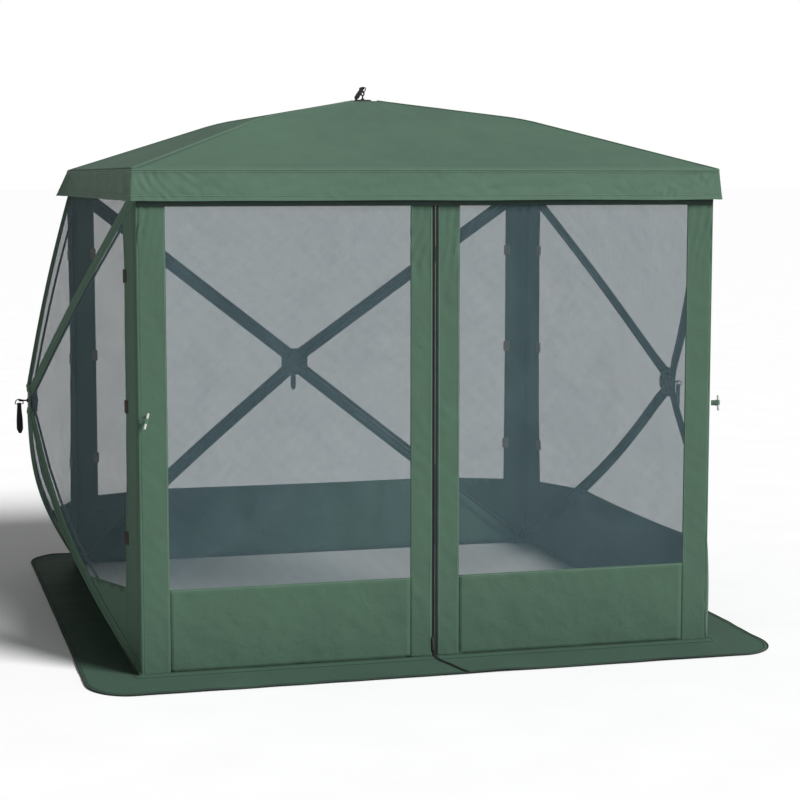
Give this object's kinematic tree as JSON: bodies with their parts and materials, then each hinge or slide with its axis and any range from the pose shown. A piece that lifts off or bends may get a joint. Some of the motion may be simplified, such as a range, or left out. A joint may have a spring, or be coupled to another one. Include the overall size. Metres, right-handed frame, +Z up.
{
  "type": "screen house",
  "caption": "Square hub-style pop-up screen house: crossed poles in mesh walls, zipped mesh front, low green roof with valance, ground skirt and hub pull straps.",
  "frame": {"origin": "centre of the bounding box on the ground, under the lowest point of the skirt and feet", "axes": "+Z up; -Y out of the zipped door wall; +X to the right seen from the door side"},
  "size_m": [2.817, 2.709, 2.1028],
  "materials": {
    "roof_cloth": "coated woven polyester, slight sheen",
    "border_cloth": "coated woven polyester",
    "skirt_cloth": "coated woven polyester",
    "wall_mesh": "fine dark grey insect mesh",
    "fibreglass": "satin black fibreglass rod",
    "hub_plastic": "satin black nylon",
    "steel": "zinc plated",
    "webbing": "black woven webbing",
    "green_webbing": "green woven webbing",
    "zip_black": "black coil zip",
    "toggle_plastic": "grey moulded plastic"
  },
  "bodies": {
    "shelter": {"roof_canopy": "roof_cloth", "valance": "roof_cloth", "wall_left": "wall_mesh", "wall_back": "wall_mesh", "wall_right": "wall_mesh", "front_border": "border_cloth", "ground_skirt": "skirt_cloth", "corner_bracket_fl": "hub_plastic", "corner_bracket_fr": "hub_plastic", "corner_bracket_br": "hub_plastic", "corner_bracket_bl": "hub_plastic", "corner_foot_fl": "hub_plastic", "corner_foot_fr": "hub_plastic", "corner_foot_br": "hub_plastic", "corner_foot_bl": "hub_plastic"},
    "hub_roof": {"hub_block_roof": "hub_plastic", "hub_plate_roof": "hub_plastic", "eye_bolt_roof": "steel"},
    "hub_left": {"hub_block_left": "hub_plastic", "hub_plate_left": "hub_plastic", "eye_bolt_left": "steel"},
    "hub_back": {"hub_block_back": "hub_plastic", "hub_plate_back": "hub_plastic", "eye_bolt_back": "steel"},
    "hub_right": {"hub_block_right": "hub_plastic", "hub_plate_right": "hub_plastic", "eye_bolt_right": "steel"},
    "pole_roof_fl": {"pole_roof_fl": "fibreglass"},
    "pole_roof_fr": {"pole_roof_fr": "fibreglass"},
    "pole_roof_br": {"pole_roof_br": "fibreglass"},
    "pole_roof_bl": {"pole_roof_bl": "fibreglass"},
    "pole_left_upper_b": {"pole_left_upper_b": "fibreglass"},
    "pole_left_lower_b": {"pole_left_lower_b": "fibreglass"},
    "pole_left_upper_f": {"pole_left_upper_f": "fibreglass"},
    "pole_left_lower_f": {"pole_left_lower_f": "fibreglass"},
    "pole_back_upper_r": {"pole_back_upper_r": "fibreglass"},
    "pole_back_lower_r": {"pole_back_lower_r": "fibreglass"},
    "pole_back_upper_l": {"pole_back_upper_l": "fibreglass"},
    "pole_back_lower_l": {"pole_back_lower_l": "fibreglass"},
    "pole_right_upper_f": {"pole_right_upper_f": "fibreglass"},
    "pole_right_lower_f": {"pole_right_lower_f": "fibreglass"},
    "pole_right_upper_b": {"pole_right_upper_b": "fibreglass"},
    "pole_right_lower_b": {"pole_right_lower_b": "fibreglass"},
    "door_left": {"door_left": "wall_mesh", "zip_tape_left": "zip_black"},
    "door_right": {"door_right": "wall_mesh", "zip_tape_right": "zip_black"},
    "zip_slider": {"zip_slider": "zip_black"},
    "pull_roof": {"pull_ring_roof": "steel", "pull_strap_roof": "webbing"},
    "pull_left": {"pull_ring_left": "steel", "pull_strap_left": "webbing"},
    "pull_back": {"pull_ring_back": "steel", "pull_strap_back": "webbing"},
    "pull_right": {"pull_ring_right": "steel", "pull_strap_right": "webbing"},
    "toggle_left": {"toggle_loop_left": "green_webbing", "toggle_bar_left": "toggle_plastic"},
    "toggle_right": {"toggle_loop_right": "green_webbing", "toggle_bar_right": "toggle_plastic"}
  },
  "joints": [
    {"name": "hub_roof_pop", "type": "slide", "parent": "shelter", "child": "hub_roof", "axis": [0, 0, 1], "range_m": [-0.6494, 0], "deforming": ["roof_canopy"]},
    {"name": "hub_left_pop", "type": "slide", "parent": "shelter", "child": "hub_left", "axis": [-1, 0, 0], "range_m": [-0.5934, 0], "deforming": ["wall_left"]},
    {"name": "hub_back_pop", "type": "slide", "parent": "shelter", "child": "hub_back", "axis": [0, 1, 0], "range_m": [-0.5934, 0], "deforming": ["wall_back"]},
    {"name": "hub_right_pop", "type": "slide", "parent": "shelter", "child": "hub_right", "axis": [1, 0, 0], "range_m": [-0.5934, 0], "deforming": ["wall_right"]},
    {"name": "pole_roof_fl_pivot", "type": "hinge", "parent": "shelter", "child": "pole_roof_fl", "pos_m": [-1.0083, -1.0478, 1.705], "axis": [0.7071, -0.7071, 0], "range_deg": [-26.55, 0]},
    {"name": "pole_roof_fr_pivot", "type": "hinge", "parent": "shelter", "child": "pole_roof_fr", "pos_m": [1.0083, -1.0478, 1.705], "axis": [0.7071, 0.7071, 0], "range_deg": [-26.55, 0]},
    {"name": "pole_roof_br_pivot", "type": "hinge", "parent": "shelter", "child": "pole_roof_br", "pos_m": [1.0083, 0.9688, 1.705], "axis": [-0.7071, 0.7071, 0], "range_deg": [-26.55, 0]},
    {"name": "pole_roof_bl_pivot", "type": "hinge", "parent": "shelter", "child": "pole_roof_bl", "pos_m": [-1.0083, 0.9688, 1.705], "axis": [-0.7071, -0.7071, 0], "range_deg": [-26.55, 0]},
    {"name": "pole_left_upper_b_pivot", "type": "hinge", "parent": "shelter", "child": "pole_left_upper_b", "pos_m": [-1.038, 0.96577, 1.67867], "axis": [0, 0.6268, -0.7792], "range_deg": [-26.9, 0]},
    {"name": "pole_left_lower_b_pivot", "type": "hinge", "parent": "shelter", "child": "pole_left_lower_b", "pos_m": [-1.038, 0.96577, 0.06133], "axis": [0, -0.6268, -0.7792], "range_deg": [-26.9, 0]},
    {"name": "pole_left_upper_f_pivot", "type": "hinge", "parent": "shelter", "child": "pole_left_upper_f", "pos_m": [-1.038, -1.04477, 1.67867], "axis": [0, 0.6268, 0.7792], "range_deg": [-26.9, 0]},
    {"name": "pole_left_lower_f_pivot", "type": "hinge", "parent": "shelter", "child": "pole_left_lower_f", "pos_m": [-1.038, -1.04477, 0.06133], "axis": [0, -0.6268, 0.7792], "range_deg": [-26.9, 0]},
    {"name": "pole_back_upper_r_pivot", "type": "hinge", "parent": "shelter", "child": "pole_back_upper_r", "pos_m": [1.00527, 0.9985, 1.67867], "axis": [0.6268, 0, -0.7792], "range_deg": [-26.9, 0]},
    {"name": "pole_back_lower_r_pivot", "type": "hinge", "parent": "shelter", "child": "pole_back_lower_r", "pos_m": [1.00527, 0.9985, 0.06133], "axis": [-0.6268, 0, -0.7792], "range_deg": [-26.9, 0]},
    {"name": "pole_back_upper_l_pivot", "type": "hinge", "parent": "shelter", "child": "pole_back_upper_l", "pos_m": [-1.00527, 0.9985, 1.67867], "axis": [0.6268, 0, 0.7792], "range_deg": [-26.9, 0]},
    {"name": "pole_back_lower_l_pivot", "type": "hinge", "parent": "shelter", "child": "pole_back_lower_l", "pos_m": [-1.00527, 0.9985, 0.06133], "axis": [-0.6268, 0, 0.7792], "range_deg": [-26.9, 0]},
    {"name": "pole_right_upper_f_pivot", "type": "hinge", "parent": "shelter", "child": "pole_right_upper_f", "pos_m": [1.038, -1.04477, 1.67867], "axis": [0, -0.6268, -0.7792], "range_deg": [-26.9, 0]},
    {"name": "pole_right_lower_f_pivot", "type": "hinge", "parent": "shelter", "child": "pole_right_lower_f", "pos_m": [1.038, -1.04477, 0.06133], "axis": [0, 0.6268, -0.7792], "range_deg": [-26.9, 0]},
    {"name": "pole_right_upper_b_pivot", "type": "hinge", "parent": "shelter", "child": "pole_right_upper_b", "pos_m": [1.038, 0.96577, 1.67867], "axis": [0, -0.6268, 0.7792], "range_deg": [-26.9, 0]},
    {"name": "pole_right_lower_b_pivot", "type": "hinge", "parent": "shelter", "child": "pole_right_lower_b", "pos_m": [1.038, 0.96577, 0.06133], "axis": [0, 0.6268, 0.7792], "range_deg": [-26.9, 0]},
    {"name": "door_left_swing", "type": "hinge", "parent": "shelter", "child": "door_left", "pos_m": [-0.9632, -1.1045, 0.9], "axis": [0, 0, -1], "range_deg": [0, 100]},
    {"name": "door_right_swing", "type": "hinge", "parent": "shelter", "child": "door_right", "pos_m": [0.9632, -1.1045, 0.9], "axis": [0, 0, 1], "range_deg": [0, 100]},
    {"name": "zip_slider_run", "type": "slide", "parent": "door_left", "child": "zip_slider", "axis": [0, 0, 1], "range_m": [0, 1.55]},
    {"name": "pull_roof_swing", "type": "hinge", "parent": "hub_roof", "child": "pull_roof", "pos_m": [0, -0.0395, 2.086], "axis": [-0.8, -0.6, 0], "range_deg": [-40, 40]},
    {"name": "pull_left_swing", "type": "hinge", "parent": "hub_left", "child": "pull_left", "pos_m": [-1.391, -0.0395, 0.87], "axis": [0, 1, 0], "range_deg": [0, 75]},
    {"name": "pull_back_swing", "type": "hinge", "parent": "hub_back", "child": "pull_back", "pos_m": [0, 1.3425, 0.861], "axis": [0, -1, 0], "range_deg": [-60, 60]},
    {"name": "pull_right_swing", "type": "hinge", "parent": "hub_right", "child": "pull_right", "pos_m": [1.391, -0.0395, 0.87], "axis": [0, -1, 0], "range_deg": [0, 75]},
    {"name": "toggle_left_swing", "type": "hinge", "parent": "shelter", "child": "toggle_left", "pos_m": [-1.061, -1.1117, 0.905], "axis": [0, 0, 1], "range_deg": [-60, 0]},
    {"name": "toggle_right_swing", "type": "hinge", "parent": "shelter", "child": "toggle_right", "pos_m": [1.0722, -1.1005, 0.905], "axis": [0, 0, 1], "range_deg": [-50, 15]}
  ],
  "couplings": [
    {"joint": "pole_roof_fl_pivot", "follows": "hub_roof_pop", "rad_per_m": 0.71221},
    {"joint": "pole_roof_fr_pivot", "follows": "hub_roof_pop", "rad_per_m": 0.71221},
    {"joint": "pole_roof_br_pivot", "follows": "hub_roof_pop", "rad_per_m": 0.71221},
    {"joint": "pole_roof_bl_pivot", "follows": "hub_roof_pop", "rad_per_m": 0.71221},
    {"joint": "pole_left_upper_b_pivot", "follows": "hub_left_pop", "rad_per_m": 0.78963},
    {"joint": "pole_left_lower_b_pivot", "follows": "hub_left_pop", "rad_per_m": 0.78963},
    {"joint": "pole_left_upper_f_pivot", "follows": "hub_left_pop", "rad_per_m": 0.78963},
    {"joint": "pole_left_lower_f_pivot", "follows": "hub_left_pop", "rad_per_m": 0.78963},
    {"joint": "pole_back_upper_r_pivot", "follows": "hub_back_pop", "rad_per_m": 0.78963},
    {"joint": "pole_back_lower_r_pivot", "follows": "hub_back_pop", "rad_per_m": 0.78963},
    {"joint": "pole_back_upper_l_pivot", "follows": "hub_back_pop", "rad_per_m": 0.78963},
    {"joint": "pole_back_lower_l_pivot", "follows": "hub_back_pop", "rad_per_m": 0.78963},
    {"joint": "pole_right_upper_f_pivot", "follows": "hub_right_pop", "rad_per_m": 0.78963},
    {"joint": "pole_right_lower_f_pivot", "follows": "hub_right_pop", "rad_per_m": 0.78963},
    {"joint": "pole_right_upper_b_pivot", "follows": "hub_right_pop", "rad_per_m": 0.78963},
    {"joint": "pole_right_lower_b_pivot", "follows": "hub_right_pop", "rad_per_m": 0.78963}
  ]
}
